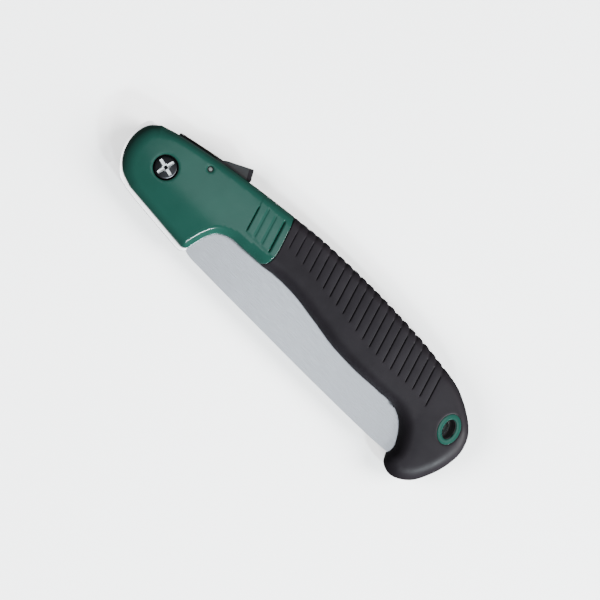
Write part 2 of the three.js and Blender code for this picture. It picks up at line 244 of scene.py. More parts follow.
GRIP_FRONT = smooth([(62.7, 27.6), (66, 18), (69.1, 6.5), (68.8, 1.2), (67, -1.3)], 0.8)


def back_at(x):
    return np.interp(x, BACK[:, 0], BACK[:, 1])


def front_x(y):
    """Where the green head ends and the black grip begins."""
    return np.interp(y, GRIP_FRONT[::-1, 1], GRIP_FRONT[::-1, 0])


# ---------------- mesh builders


def is_sharp(edge, angle):
    return len(edge.link_faces) == 2 and edge.calc_face_angle() > radians(angle)


def shade(bm, angle):
    """Smooth shading, but for the edges that are sharper than an angle."""
    for face in bm.faces:
        face.smooth = True
    for edge in bm.edges:
        edge.smooth = not is_sharp(edge, angle)


def add_object(name, data):
    piece = bpy.data.objects.new(name, data)
    bpy.context.scene.collection.objects.link(piece)
    return piece


def new_object(name, vertices, faces, body="handle", smooth_angle=35):
    """Piece made of drawing points, smooth but for its sharp edges, which rides on a body."""
    mesh = bpy.data.meshes.new(name)
    mesh.from_pydata([place(*v) for v in vertices], [], faces)
    mesh.validate()
    bm = bmesh.new()
    bm.from_mesh(mesh)
    bmesh.ops.recalc_face_normals(bm, faces=bm.faces)
    shade(bm, smooth_angle)
    bm.to_mesh(mesh)
    bm.free()
    piece = add_object(name, mesh)
    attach(piece, body)
    return piece


def fill(outline, holes=(), spare=(), line=()):
    """Triangles over an outline less its holes, through extra inner points and along an open line.
    Returns points, faces."""
    points, edges = [], []
    for run, closed in ((outline, 1), (line, 0), *((hole, 1) for hole in holes)):
        first, count = len(points), len(run)
        points += [Vector(p) for p in run]
        edges += [(first + i, first + (i + 1) % count) for i in range(count - 1 + closed)]
    points += [Vector(p) for p in spare]
    verts, _, faces, _, _, _ = delaunay_2d_cdt(points, edges, [], 0, 1e-5)
    verts = np.array([tuple(v) for v in verts])
    faces = np.array([f for f in faces if len(f) == 3])
    middle = verts[faces].mean(axis=1)
    keep = inside(middle, outline)
    for hole in holes:
        keep &= ~inside(middle, hole)
    return verts, faces[keep]


def grid(outline, step, lean=0.0, first=0.0, pitch=None, offsets=(0.0,)):
    """Inner points on a grid whose columns lean like the ribs; the columns repeat at a pitch."""
    low, high = outline.min(axis=0), outline.max(axis=0)
    shear = tan(radians(lean))
    pitch = pitch or step
    margin = 12
    column = np.arange(np.floor((low[0] - margin - first) / pitch), (high[0] + margin - first) / pitch)
    us = ((first + pitch * column)[:, None] + np.array(offsets)).ravel()
    vs = np.arange(low[1], high[1], step)
    u, v = np.meshgrid(us, vs)
    points = np.column_stack([(u - (v - RIB_LEVEL) * shear).ravel(), v.ravel()])
    points = points[inside(points, outline)]
    return points[distance(points, outline) > 0.5]


def indices_of(line, points):
    """Index among some points of each point of a line."""
    return [int(np.argmin(np.linalg.norm(points - p, axis=1))) for p in line]


def link(points, edge, edge_indices, vertices, heights):
    """Index of each filled point: the ones on the edge are shared, the rest are added."""
    table = {}
    keys = {(round(float(x), 3), round(float(y), 3)): i for (x, y), i in zip(edge, edge_indices)}
    for n, ((x, y), z) in enumerate(zip(points, heights)):
        key = (round(float(x), 3), round(float(y), 3))
        if key in keys:
            table[n] = keys[key]
        else:
            table[n] = len(vertices)
            vertices.append((float(x), float(y), float(z)))
    return table


def plate(name, outline, low, high, holes=(), bevel=0, segments=2, body="handle"):
    """Flat plate with holes, and with rounded edges where it has a bevel."""
    flat, triangles = fill(outline, holes)
    count = len(flat)
    vertices = [(x, y, z) for z in (low, high) for x, y in flat]
    faces = triangles[:, ::-1].tolist() + (triangles + count).tolist()
    for line in (outline, *holes):
        near = indices_of(line, flat)
        for a, b in zip(near, near[1:] + near[:1]):
            faces.append((a, b, b + count, a + count))
    piece = new_object(name, vertices, faces, body)
    if bevel:
        round_edges(piece, bevel, segments)
    return piece


def round_edges(piece, width, segments):
    """Dissolves the flat faces, then rounds every sharp edge."""
    bm = bmesh.new()
    bm.from_mesh(piece.data)
    bmesh.ops.dissolve_limit(bm, angle_limit=radians(0.5), verts=bm.verts, edges=bm.edges)
    bmesh.ops.bevel(
        bm, geom=[e for e in bm.edges if is_sharp(e, 35)], offset=width * MM, offset_type="OFFSET",
        segments=segments, profile=0.5, affect="EDGES", clamp_overlap=True,
    )
    bmesh.ops.triangulate(bm, faces=[f for f in bm.faces if len(f.verts) > 4])
    shade(bm, 40)
    bm.to_mesh(piece.data)
    bm.free()


def turned(name, profile, x, y, sides=48):
    """Closed piece turned about an axis along Z; the profile starts and ends on the axis."""
    vertices, faces, rows = [], [], []
    for r, z in profile:
        if r < 1e-6:
            rows.append([len(vertices)])
            vertices.append((x, y, z))
        else:
            rows.append(list(range(len(vertices), len(vertices) + sides)))
            vertices += [(px, py, z) for px, py in circle(x, y, r, sides)]
    for low, high in zip(rows, rows[1:]):
        for i in range(sides):
            j = (i + 1) % sides
            if len(low) == 1:
                faces.append((low[0], high[j], high[i]))
            elif len(high) == 1:
                faces.append((low[i], low[j], high[0]))
            else:
                faces.append((low[i], low[j], high[j], high[i]))
    return new_object(name, vertices, faces)


def ring_faces(rows, count):
    """Faces of a ring whose section is closed: rows of points, the last joined to the first."""
    faces = []
    for k in range(rows):
        here, there = k * count, (k + 1) % rows * count
        for i in range(count):
            j = (i + 1) % count
            faces.append((here + i, here + j, there + j, there + i))
    return faces


def cut(piece, tools, smooth_rest=True):
    """Cuts the tools out of a piece and removes them. The cut faces are flat-shaded, and so is the
    rest of the piece without smooth_rest."""
    for tool in tools:
        modifier = piece.modifiers.new("cut", "BOOLEAN")
        modifier.object = tool
        modifier.operation = "DIFFERENCE"
        modifier.solver = "EXACT"
        modifier.material_mode = "TRANSFER"
    bpy.context.view_layer.update()
    done = bpy.data.meshes.new_from_object(piece.evaluated_get(bpy.context.evaluated_depsgraph_get()))
    piece.modifiers.clear()
    piece.data = done
    for tool in tools:
        bpy.data.objects.remove(tool)
    for face in piece.data.polygons:
        face.use_smooth = smooth_rest and face.material_index == 0


# ---------------- shape of the handle


def hand(side):
    return "left" if side > 0 else "right"


def soft_step(value, low, high):
    t = np.clip((value - low) / (high - low), 0, 1)
    return t * t * (3 - 2 * t)


def rib_place(at):
    """How far along the handle the leaning rib line through each point is."""
    x, y = at.T
    return x + (y - RIB_LEVEL) * tan(radians(RIB_LEAN))


def rib_low(x):
    """Height at which the ribs' grooves end."""
    ends = [14.2, 12.7, 10.0, 7.2, 6.6, 7.5, 7.2, 5.6]
    return np.interp(x, [70, 90, 110, 130, 145, 160, 168, 173], ends)


def rib_grooves(at):
    """Depth of the grooves between the grip's ribs. A groove has a steep wall towards the head, fades
    out at its lower end, and becomes a wide notch in the back."""
    x, y = at.T
    along = rib_place(at)
    index = np.round((along - RIB_FIRST) / RIB_PITCH)
    live = (index >= 0) & (index < RIB_COUNT)
    off = along - RIB_FIRST - index * RIB_PITCH
    below_back = back_at(x) - y
    fade = 0.42 + 0.58 * soft_step(below_back, 2.5, 8)
    notch = 0.45 * (1 - soft_step(below_back, 1.0, 5.0)) * np.exp(-((off / 0.85) ** 2))
    depth = 0.62 * fade * np.exp(-((off / np.where(off < 0, 0.13, 0.32)) ** 2))
    depth = np.maximum(depth, notch) + 0.10 * np.exp(-((off / 1.3) ** 2))
    low = rib_low(RIB_FIRST + index * RIB_PITCH)
    first = 0.6 + 0.4 * soft_step(index, 0, 6)
    return np.where(live, depth * soft_step(y, low - 0.9, low + 0.7) * first, 0.0)


def panel_grooves(at):
    """Depth of the grooves in the head's ribbed panel. The first and the last are the deep ones."""
    y = at[:, 1]
    along = rib_place(at)
    index = np.round((along - PANEL_FIRST) / RIB_PITCH)
    live = (index >= 0) & (index < PANEL_COUNT)
    off = along - PANEL_FIRST - index * RIB_PITCH
    last = index == PANEL_COUNT - 1
    edge = (index == 0) | last
    wide = np.where(last, 0.55, np.where(edge, 0.36, 0.6)) * np.where(edge & (off < 0), 0.4, 1)
    depth = np.where(last, 1.0, np.where(edge, 0.8, 0.15)) * np.exp(-((off / wide) ** 2))
    high = np.where(index == 0, 18.6, np.where(last, 22.2, 21.2))
    ends = soft_step(y, 5.2, 6.8) * (1 - soft_step(y, high - 0.8, high + 0.8))
    return np.where(live, depth * ends, 0.0)


def head_top(at):
    """Height of the head's cheek: a shallow crown, with the ribbed panel slightly raised."""
    x, y = at.T
    crown = 2.9 * (np.clip(2 - y, 0, 30) / 22) ** 2 + 0.9 * (np.clip(6 - x, 0, 30) / 28) ** 2
    crown += 0.5 * (np.clip(y - 12, 0, 20) / 14) ** 2
    panel = soft_step(rib_place(at), 46.4, 47.4)
    panel = panel * soft_step(y, 4.6, 6.0) * (1 - soft_step(y, 22.6, 23.8))
    return HALF - 0.28 - crown + 0.12 * panel


def grip_top(at):
    """Height of the rubber: crowned from the back to the finger side, thinner behind the hook."""
    x, y = at.T
    middle = np.interp(x, [66, 100, 150, 175, 190, 206], [14, 14, 12, 8, -2, -4])
    crown = 0.9 * ((y - middle) / 20) ** 2
    return HALF - crown - 0.5 * soft_step(np.abs(y - middle), 10, 26)


def roof_at(x):
    """Height at which the blade slot ends inside the handle."""
    return np.interp(x, [30, 184, 187.4], [14.6, -2.6, -3.6])


def grip_inner(at):
    """Inner face: the blade slot up to its roof, and the middle plane beyond it."""
    x, y = at.T
    open_slot = (y < roof_at(x)) & (np.hypot(x, y) < 193)
    return np.where(open_slot, SLOT, SPLIT)


def head_inner(at):
    """Inner face: room for the liners, the lever's trough, and the middle plane at the back."""
    x, y = at.T
    back = back_at(x)
    liner_room = (y < back - LINER_TOP + 0.3) & (x < LINER_ROOM_END)
    slot = (y < roof_at(x)) & (x >= LINER_ROOM_END)
    trough = (x > TROUGH[0]) & (x < TROUGH[1]) & (y > back - TROUGH_DEPTH)
    z = np.where(liner_room, SHELL_IN, np.where(slot, SLOT, SPLIT))
    return np.where(trough, LEVER_HALF + 0.45, z)


def hang_oval(half):
    turn = radians(HANG_HOLE["lean"])
    c, s = circle(0, 0, 1, 56).T
    x = HANG_HOLE["centre"][0] + half[0] * c * cos(turn) - half[1] * s * sin(turn)
    y = HANG_HOLE["centre"][1] + half[0] * c * sin(turn) + half[1] * s * cos(turn)
    return np.column_stack([x, y])


HANDLE = loop(BACK, TAIL, GRIP_UNDER, CONCAVE, HEAD_CORNER, HEAD_UNDER, NOSE)
HANDLE_OUT = outward(HANDLE)


def snapped(line):
    """The line with its two ends moved onto the nearest points of the handle's outline."""
    line = line.copy()
    for end in (0, -1):
        line[end] = HANDLE[np.argmin(np.linalg.norm(HANDLE - line[end], axis=1))]
    return line


JOINT = snapped(GRIP_FRONT)
# An outline round everything on the grip's side of the joint.
GRIP_SIDE = np.vstack([JOINT, [(67, -60), (260, -60), (260, 60), (62, 60)]])


def ease(values, passes=150):
    """Values along the closed outline, smoothed so that the rounding changes gently."""
    result = values.copy()
    for _ in range(passes):
        result = 0.5 * result + 0.25 * (np.roll(result, 1) + np.roll(result, -1))
    return result


def rounding():
    """How far the edge's rounding reaches inwards and downwards at each point of the outline, and
    how much of it is a chamfer."""
    x, y = HANDLE.T
    reach, drop = np.full(len(x), 4.2), np.full(len(x), 4.0)
    step = (x > 32) & (x < 62) & (y > -21) & (y < 0)
    stretches = (
        (x < -12, 7.0, 4.6),                            # nose
        ((x >= -12) & (y > 10), 4.2, 5.2),              # back of the head
        (step, 3.6, 3.6),                               # step above the blade
        (x >= 62, 4.4, 5.8),                            # back of the grip
        ((x >= 62) & (x < 181) & (y < 5), 6.6, 7.2),    # finger side
        ((x > 183) & (y < 14), 7.2, 7.0),               # tail
    )
    for where, inwards, downwards in stretches:
        reach[where], drop[where] = inwards, downwards
    return ease(reach), ease(drop), ease(step.astype(float), passes=20)


REACH, DROP, CHAMFER = rounding()


def nearest(points):
    """Distance from the outline, the rounding's reach, drop and chamfer there, and the way out."""
    count = len(HANDLE)
    away, where, out = nearest_on(points, HANDLE)
    close = away < 0.02
    out[close] = HANDLE_OUT[np.round(where[close]).astype(int) % count]
    out /= np.linalg.norm(out, axis=1, keepdims=True)
    at = np.arange(count + 1)
    reach, drop, chamfer = (np.interp(where, at, np.append(v, v[0])) for v in (REACH, DROP, CHAMFER))
    return away, reach, drop, chamfer, out


def near_edge(points, line, depth, width, closed=True):
    """Depth of the small rounding beside an edge inside the surface."""
    low, high = line.min(axis=0) - 4 * width, line.max(axis=0) + 4 * width
    close = ((points > low) & (points < high)).all(axis=1)
    result = np.zeros(len(points))
    result[close] = depth * np.exp(-((distance(points[close], line, closed) / width) ** 2))
    return result


HALF_RIB = (0.09, 0.19, 0.3, 0.44, 0.66, 1.0, 1.5, 2.1)
ACROSS_RIB = (*(-off for off in reversed(HALF_RIB)), 0, *HALF_RIB)    # columns of points at a groove


def skin_points(holes):
    """Points of the handle's face: rings down its rounded edge, rows beside every inner edge, and
    a grid that leans like the ribs where it is ribbed."""
    rings, ring_count = [], 9
    for k in range(1, ring_count + 1):
        away = REACH * (1 - cos(pi / 2 * k / ring_count))
        at = HANDLE - HANDLE_OUT * away[:, None]
        rings.append(at[distance(at, HANDLE) > 0.97 * away])
    rows = []
    for hole in holes:
        normals = outward(loop(hole))
        rows += [loop(hole) + normals * r for r in (0.14, 0.32, 0.6)]
    rows += [JOINT + sideways(JOINT) * r for r in (-0.62, -0.35, -0.15, 0.15, 0.35, 0.62)]
    rows = np.vstack(rows)
    rings = np.vstack(rings)
    ribs = grid(HANDLE, 0.8, RIB_LEAN, RIB_FIRST, RIB_PITCH, ACROSS_RIB)
    x, y = ribs.T
    ribs = ribs[(x > 67) & (x < 178.5) & (y > rib_low(x) - 2)]
    panel = grid(HANDLE, 0.7, RIB_LEAN, PANEL_FIRST, RIB_PITCH, ACROSS_RIB)
    x, y = panel.T
    panel = panel[(x > 45) & (x < 69) & (y > 3.5) & (y < 25) & (x < front_x(y))]
    plain = grid(HANDLE, 1.3)
    x, y = plain.T
    is_ribs = (x > 66.6) & (x < 178.9) & (y > rib_low(x) - 2.5)
    is_panel = (x > 44.4) & (x < 69.4) & (y > 3) & (y < 25.5) & (x < front_x(y) + 0.5)
    plain = plain[~is_ribs & ~is_panel]
    inner = np.vstack([ribs, panel, plain])
    away, reach, *_ = nearest(inner)
    inner = inner[away > reach + 0.3]
    for edge, closed in ((JOINT, False), *((hole, True) for hole in holes)):
        inner = inner[distance(inner, edge, closed) > 0.8]
        rings = rings[distance(rings, edge, closed) > 0.7]
    rows = rows[inside(rows, HANDLE)]
    rows = rows[distance(rows, HANDLE) > 0.1]
    return np.vstack([rings, rows, inner])


def face_of(holes):
    """Triangles over the whole face of the handle, with the joint as one of their lines, and which
    of them are the grip's."""
    flat, faces = fill(HANDLE, holes, skin_points(holes), JOINT)
    return flat, faces, inside(flat[faces].mean(axis=1), GRIP_SIDE)


def lifted(flat, edge, top, grooves, holes):
    """The face's points in space: the crowned top, less the edge's rounding and the grooves. The
    rounding is a quarter of an ellipse, or at a chamfer a slope with a rounded lower corner."""
    away, reach, drop, chamfer, out = edge
    level = np.clip(1 - away / reach, 0, 1)
    rise = np.sqrt(1 - level ** 2)
    corner = np.clip((level - 0.8) / 0.2, 0, 1)
    flank = np.interp(level, [0, 0.3, 1], [0, 0.14, 0.66])
    slope = 1 - flank - 0.34 * (1 - np.sqrt(1 - corner ** 2))
    rise += chamfer * (slope - rise)
    depth = grooves(flat) + near_edge(flat, JOINT, 0.3, 0.22, closed=False)
    z = top(flat) - drop * (1 - rise) - depth * rise
    for hole in holes:
        z = z - near_edge(flat, hole, 0.2, 0.3)
    return np.column_stack([flat - out * (depth * level)[:, None], z])


def edge_loops(faces):
    """Closed runs of vertices along the open edges of some triangles."""
    ahead = dict.fromkeys(side for a, b, c in faces for side in ((a, b), (b, c), (c, a)))
    follow = {a: b for a, b in ahead if (b, a) not in ahead}
    runs = []
    while follow:
        start, at = next(iter(follow.items()))
        run = [start]
        del follow[start]
        while at != start:
            run.append(at)
            at = follow.pop(at)
        runs.append(run)
    return runs


def beside(line):
    """Pairs of points just to the two sides of a line, which give a step in height there."""
    gap = 0.03
    return np.vstack([line + sideways(line) * gap, line - sideways(line) * gap])


def skin(name, flat, faces, space, inner, steps, floors, side):
    """Closed piece below some triangles of the face: walls, floors of the blind holes, and the
    inner face. floors holds (outline, height) for each blind hole."""
    used = np.unique(faces).tolist()
    index = {old: new for new, old in enumerate(used)}
    vertices = [tuple(space[i]) for i in used]
    solid = [tuple(index[i] for i in f) for f in faces.tolist()]
    open_runs = []
    for run in edge_loops(faces.tolist()):
        floor_z = next((z for hole, z in floors if distance(flat[run], hole).max() < 0.01), None)
        foot = space[run]
        bottom = inner(foot[:, :2]) if floor_z is None else np.full(len(run), floor_z)
        chain = [[index[i] for i in run]]
        for share in ((0.5, 1) if floor_z is None else (1,)):
            chain.append(list(range(len(vertices), len(vertices) + len(run))))
            vertices += [(x, y, z + (b - z) * share) for (x, y, z), b in zip(foot, bottom)]
        for high, low in zip(chain, chain[1:]):
            for i in range(len(run)):
                j = (i + 1) % len(run)
                solid.append((high[i], low[i], low[j], high[j]))
        if floor_z is None:
            open_runs.append((foot[:, :2], chain[-1]))
        else:
            solid.append(tuple(chain[-1]))
    rim, rim_index = max(open_runs, key=lambda run: len(run[1]))
    holes = [run for run in open_runs if run[1] is not rim_index]
    hole_lines = [points for points, _ in holes]
    spare = np.vstack([beside(line) for line in steps])
    spare = spare[inside(spare, rim)]
    for line in (rim, *hole_lines):
        spare = spare[distance(spare, line) > 0.25]
    cap, triangles = fill(rim, hole_lines, spare)
    edge_index = rim_index + sum((numbers for _, numbers in holes), [])
    lookup = link(cap, np.vstack([rim, *hole_lines]), edge_index, vertices, inner(cap))
    solid += [tuple(lookup[i] for i in t) for t in triangles[:, ::-1].tolist()]
    if side < 0:
        vertices = [(x, y, -z) for x, y, z in vertices]
    return new_object(f"{name}_{hand(side)}", vertices, solid)


def recesses(side):
    """Outline and floor height of each recess in a half's face. The left half has the bolt's, the
    right half the nut's and the screws'."""
    if side > 0:
        pivot = circle(0, 0, BOLT_RECESS, 48)
    else:
        pivot = resample(arc(0, 0, NUT_RECESS, 30, 390, 6), 0.9)[:-1]
    found = [(pivot, PIVOT_SEAT), (circle(*LEVER_PIN, PIN_RECESS, 24), PIN_SEAT)]
    if side < 0:
        found += [(circle(*spot, SCREW_RECESS, 32), SCREW_SEAT) for spot in SCREWS]
    return found


def inner_steps():
    """Lines at which the inner face changes its height: the liners' room, the lever's trough and
    the roof of the blade slot, which comes last."""
    under_back = [(x, back_at(x) - LINER_TOP + 0.3) for x in np.linspace(-15, LINER_ROOM_END, 60)]
    room_end = [(LINER_ROOM_END, y) for y in np.linspace(-2, 24, 20)]
    start, end = TROUGH
    trough = [(start, back_at(start) - d) for d in (0.1, TROUGH_DEPTH)]
    trough += [(x, back_at(x) - TROUGH_DEPTH) for x in np.linspace(-7, 36, 34)]
    trough += [(end, back_at(end) - d) for d in (TROUGH_DEPTH, 0.1)]
    roof = [(x, roof_at(x)) for x in np.linspace(30, 186, 120)]
    return [np.array(line) for line in (under_back, room_end, trough, roof)]


def handle_half(side):
    """Green head and black grip of one half, cut from one face so that their edges run on."""
    floors = recesses(side)
    holes = [hole for hole, _ in floors] + [hang_oval(HANG_HOLE["ring"])]
    flat, faces, is_grip = face_of(holes)
    edge = nearest(flat)
    steps = inner_steps()
    head_space = lifted(flat, edge, head_top, panel_grooves, holes)
    grip_space = lifted(flat, edge, grip_top, rib_grooves, holes)
    head = skin("green_head", flat, faces[~is_grip], head_space, head_inner, steps, floors, side)
    rubber = skin("rubber_grip", flat, faces[is_grip], grip_space, grip_inner, steps[-1:], floors, side)
    return head, rubber


def hang_lines():
    """Outlines of the hanging hole's lining: where it meets the rubber, and round the hole."""
    return hang_oval(np.array(HANG_HOLE["ring"]) - 0.06), hang_oval(HANG_HOLE["half"])


def hang_ring(side):
    """Green rim of the hanging hole, flush with the rubber. Its section is given by the share of
    the way to the hole and the height over the rubber, or None at the rim's lower face."""
    outer, inner = hang_lines()
    profile = [(0.0, None), (0.0, -0.3), (0.05, -0.08), (0.15, 0.0)]
    profile += [(0.8, 0.0), (0.93, -0.1), (1.0, -0.35), (1.0, None)]
    vertices = []
    for share, over in profile:
        ring = outer * (1 - share) + inner * share
        height = np.full(len(ring), RING_LOW) if over is None else grip_top(ring) + 0.03 + over
        vertices += [(x, y, side * z) for (x, y), z in zip(ring, height)]
    return new_object(f"hang_ring_{hand(side)}", vertices, ring_faces(len(profile), len(outer)))


def hang_hole_shade(side):
    """Dark wall of the hanging hole below its green rim, in the rubber's colour: painted shade that keeps
    the hole dark.
    """
    outer, inner = hang_lines()
    high = RING_LOW - 0.1
    vertices = []
    for ring, z in ((outer, high), (inner, high), (inner, SPLIT), (outer, SPLIT)):
        vertices += [(x, y, side * z) for x, y in ring]
    return new_object(f"hang_hole_shade_{hand(side)}", vertices, ring_faces(4, len(outer)))


# ---------------- steel plates, blade and lever


def liner_outline():
    nose = smooth([
        (30.5, -24.3), (-7, -20.3), (-13, -18.4), (-18.4, -13), (-22.4, -5.6), (-23.76, 2),
        (-23.2, 8.4), (-20.9, 12.1), (-17.6, 12.3),
    ], 1.0)
    corner = smooth([(34.8, -18), (35.4, -22.2), (33.2, -24.1), (30.5, -24.3)], 0.7)
    top = [(x, back_at(x) - 3.7) for x in (-8, 0, 8)] + [(x, back_at(x) - 4.9) for x in (12, 20, 37)]
    top = [(x, back_at(x) - 3) for x in (-12, -8.4)] + top + [(x, back_at(x) - 3) for x in (37.3, 46, 61)]
    return loop(nose, top, [(61, -0.2), (46, -0.8), (40, -4.4), (36.8, -10.6)], corner)


def liner(side):
    low, high = sorted((side * LINER_IN, side * LINER_OUT))
    holes = [circle(0, 0, 3.9), circle(*LEVER_PIN, 1.5, 20), circle(-13, 9.5, 1.7, 20)]
    holes += [circle(*SCREWS[0], 1.7, 20)]
    piece = plate(f"liner_plate_{hand(side)}", liner_outline(), low, high, holes, bevel=0.3)
    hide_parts(f"{hand(side)}_liner")
    return piece


TANG_R, TANG_END = 14.4, 319.9        # radius of the tang's rim, and the angle at which it ends
NOTCH_FLOOR, NOTCH_HALF = 12.8, 2.2
NOTCHES = (110.9, 280.9)              # angles of the lock notches: blade closed, blade open
TOOTH_COUNT, TOOTH_DEPTH, TOOTH_SET, TOOTH_GRIND = 38, 3.1, 0.32, 0.25
TEETH_START, TEETH_END = np.array([187.0, -4.9]), np.array([35.5, 11.9])


def tang_rim():
    """Rim of the tang, with its two lock notches."""
    runs, start = [], 52.0
    for centre in NOTCHES:
        half = degrees(NOTCH_HALF / TANG_R)
        runs.append(arc(0, 0, TANG_R, start, centre - half, int((centre - half - start) / 3)))
        along = np.array([cos(radians(centre)), sin(radians(centre))])
        across = np.array([-along[1], along[0]])
        runs.append(np.array([along * NOTCH_FLOOR + across * NOTCH_HALF * s for s in (-1, 1)]))
        start = centre + half
    runs.append(arc(0, 0, TANG_R, start, TANG_END, 13))
    return np.vstack(runs)


def set_side(tooth):
    """Side that a tooth's tip is bent towards."""
    return 1 if tooth % 2 else -1


def tooth_points(face, along, down):
    """Outline of the teeth on one face of the blade. On the face that a tooth is bent away from, its
    tip is ground back and its gullet comes to a point."""
    points = []
    for i in range(TOOTH_COUNT):
        tip = TEETH_START + along * i
        if face == set_side(i):
            points += [tip, tip + along * 0.30 - down * TOOTH_DEPTH, tip + along * 0.42 - down * TOOTH_DEPTH]
        else:
            points += [tip - down * 0.7 + along * 0.05] + [tip + along * 0.36 - down * TOOTH_DEPTH] * 2
    return points


def saw_blade():
    """Blade with set, ground teeth. Its two faces have tooth outlines of their own."""
    along = (TEETH_END - TEETH_START) / TOOTH_COUNT
    down = np.array([along[1], -along[0]]) / np.linalg.norm(along)
    spine = smooth([
        (34, -21.2), (38, -22.7), (50, -23.3), (90, -24), (130, -24.5), (174, -24), (181, -23),
        (187, -18.4), (189.9, -12), (189.2, -7.6),
    ], 1.5)
    fixed = np.vstack([tang_rim(), arc(0, 0, 19, TANG_END, TANG_END, 0), spine])
    hole = circle(0, 0, 3.9)
    rows = np.vstack([
        [TEETH_START + along * t - down * deep for t in np.linspace(0.15, TOOTH_COUNT - 0.2, 190)]
        for deep in (3.5, 4.2)
    ])
    vertices, faces, tables = [], [], []
    for face in (1, -1):
        outline = np.vstack([fixed, tooth_points(face, along, down), TEETH_END, (22, 10.6)])
        flat, triangles = fill(outline, [hole], rows)
        base = len(vertices)
        z = np.full(len(flat), BLADE_HALF * face)
        near = indices_of(outline, flat)
        for i in range(TOOTH_COUNT):
            grind = 0 if face == set_side(i) else TOOTH_GRIND
            z[near[len(fixed) + 3 * i]] += TOOTH_SET * set_side(i) - face * grind
        vertices += [(x, y, h) for (x, y), h in zip(flat, z)]
        order = triangles if face > 0 else triangles[:, ::-1]
        faces += (order + base).tolist()
        tables.append([[base + i for i in run] for run in (near, indices_of(hole, flat))])
    for top, bottom in zip(*tables):
        for i in range(len(top)):
            j = (i + 1) % len(top)
            faces.append((top[i], top[j], bottom[j], bottom[i]))
    piece = new_object("saw_blade", vertices, faces, "blade", smooth_angle=15)
    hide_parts("blade")
    return piece


def lever_outline():
    under = [(x, back_at(x) + 0.5) for x in np.linspace(-6.7, 14, 9)]
    pad = [(19, 19.9), (34.5, 22.9), (35, 25), (32, 30.3), (19.7, 24.2), (18, 22.9)]
    top = [(x, back_at(x) + 1.4) for x in np.linspace(14, -6.7, 9)]
    return loop(under, pad, top)


def thumb_lever():
    """Black lever: a strip along the back and a wedge pad, with thumb ridges across its slope."""
    piece = plate(
        "thumb_lever_cover", lever_outline(), -LEVER_HALF, LEVER_HALF, bevel=0.35, segments=3, body="lock",
    )
    piece.data.materials.append(PLASTIC)
    # The pad's end step. Its cut face takes the darker rubber colour, painted shade for a face turned away
    # from the light.
    step = np.array([(35.3, 19.5), (42, 19.5), (42, 34), (27.4, 33.5)])
    tools = []
    for z in (-1, 1):
        low, high = sorted((z * (LEVER_HALF - 0.55), z * (LEVER_HALF + 1)))
        tools.append(plate("step", step, low, high, body="lock"))
    foot, crest = np.array([(20.8, 24.85), (30.4, 29.5)])
    along = (crest - foot) / np.linalg.norm(crest - foot)
    up = np.array([-along[1], along[0]])
    for share in np.linspace(0.05, 0.92, 6):
        at = foot + (crest - foot) * share
        corners = [at - along * 0.28 - up * 0.05, at - up * 0.5, at + along * 0.28 - up * 0.05]
        corners += [at + along * 0.5 + up * 1.2, at - along * 0.5 + up * 1.2]
        tools.append(plate("groove", np.array(corners), -3.3, 3.3, body="lock"))
    # The cut faces take the tools' darker rubber colour: painted shade at the end step, and darker walls in
    # the thumb grooves.
    for tool in tools:
        tool.data.materials.append(RUBBER)
    cut(piece, tools, smooth_rest=False)
    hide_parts("thumb_lever")
    return piece


# ---------------- pivot and screws


def screw(name, node, x, y, side, head_r, head_low, head_high, shank_r, tail, arm, turn):
    """Cross-head screw with a domed head towards one side. arm is half the cross's width."""
    dome = head_high - head_low
    profile = [(0, tail), (shank_r, tail), (shank_r, head_low), (head_r, head_low)]
    profile += [(head_r, head_low + 0.5 * dome), (head_r * 0.985, head_low + 0.68 * dome)]
    for share in (0.93, 0.84, 0.72, 0.58, 0.42, 0.2, 0):
        profile.append((head_r * share, head_high - 0.24 * dome * share ** 2.2))
    piece = turned(name, [(r, side * z) for r, z in profile], x, y)
    piece.data.materials.append(SCREW_STEEL)
    cut(piece, cross_tools(x, y, side, head_high, dome, arm, turn))
    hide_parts(node)
    return piece


def cross_tools(x, y, side, head_high, dome, arm, turn):
    """Tools that cut a screw's cross: two bars with sloping walls, a flared lip in the middle, and
    below it a core. The bars and the lip leave near-white walls, a painted highlight, and the core leaves
    dark walls, painted shade."""
    above = head_high + 0.3
    half, low = 0.13 * arm, head_high - 0.30 * dome
    section = [(-half * 1.5, above), (half * 1.5, above), (half, low), (-half, low)]
    tools = [wedge(section, arm * 1.08, arm * 0.98, x, y, side, turn + k) for k in (0, 90)]
    lip = [(0, head_high - 0.4 * dome), (0.3 * arm, head_high - 0.4 * dome), (0.47 * arm, above), (0, above)]
    core = [(0, head_high - 0.95 * dome), (0.16 * arm, head_high - 0.9 * dome)]
    core += [(0.3 * arm, low), (0.3 * arm, above), (0, above)]
    for profile in (lip, core):
        tools.append(turned("cross", [(r, side * z) for r, z in profile], x, y, sides=4))
        tools[-1].data.transform(
            Matrix.Translation(place(x, y, 0)) @ Matrix.Rotation(radians(turn + 45), 4, "Z")
            @ Matrix.Translation(-place(x, y, 0))
        )
    for tool in tools:
        tool.data.materials.append(DARK_STEEL_AND_SHADE if tool == tools[-1] else PAINTED_HIGHLIGHT_STEEL)
    return tools


def wedge(section, top_half, low_half, x, y, side, turn):
    """Bar of tapering section for one arm of a screw's cross; its ends slope as well."""
    vertices = []
    for end in (-1, 1):
        for across, z in section:
            reach = top_half if z == section[0][1] else low_half
            at = Matrix.Rotation(radians(turn), 2) @ Vector((end * reach, across))
            vertices.append((x + at.x, y + at.y, side * z))
    faces = [(0, 1, 2, 3), (4, 5, 6, 7)] + [(i, (i + 1) % 4, (i + 1) % 4 + 4, i + 4) for i in range(4)]
    return new_object("cross", vertices, faces)


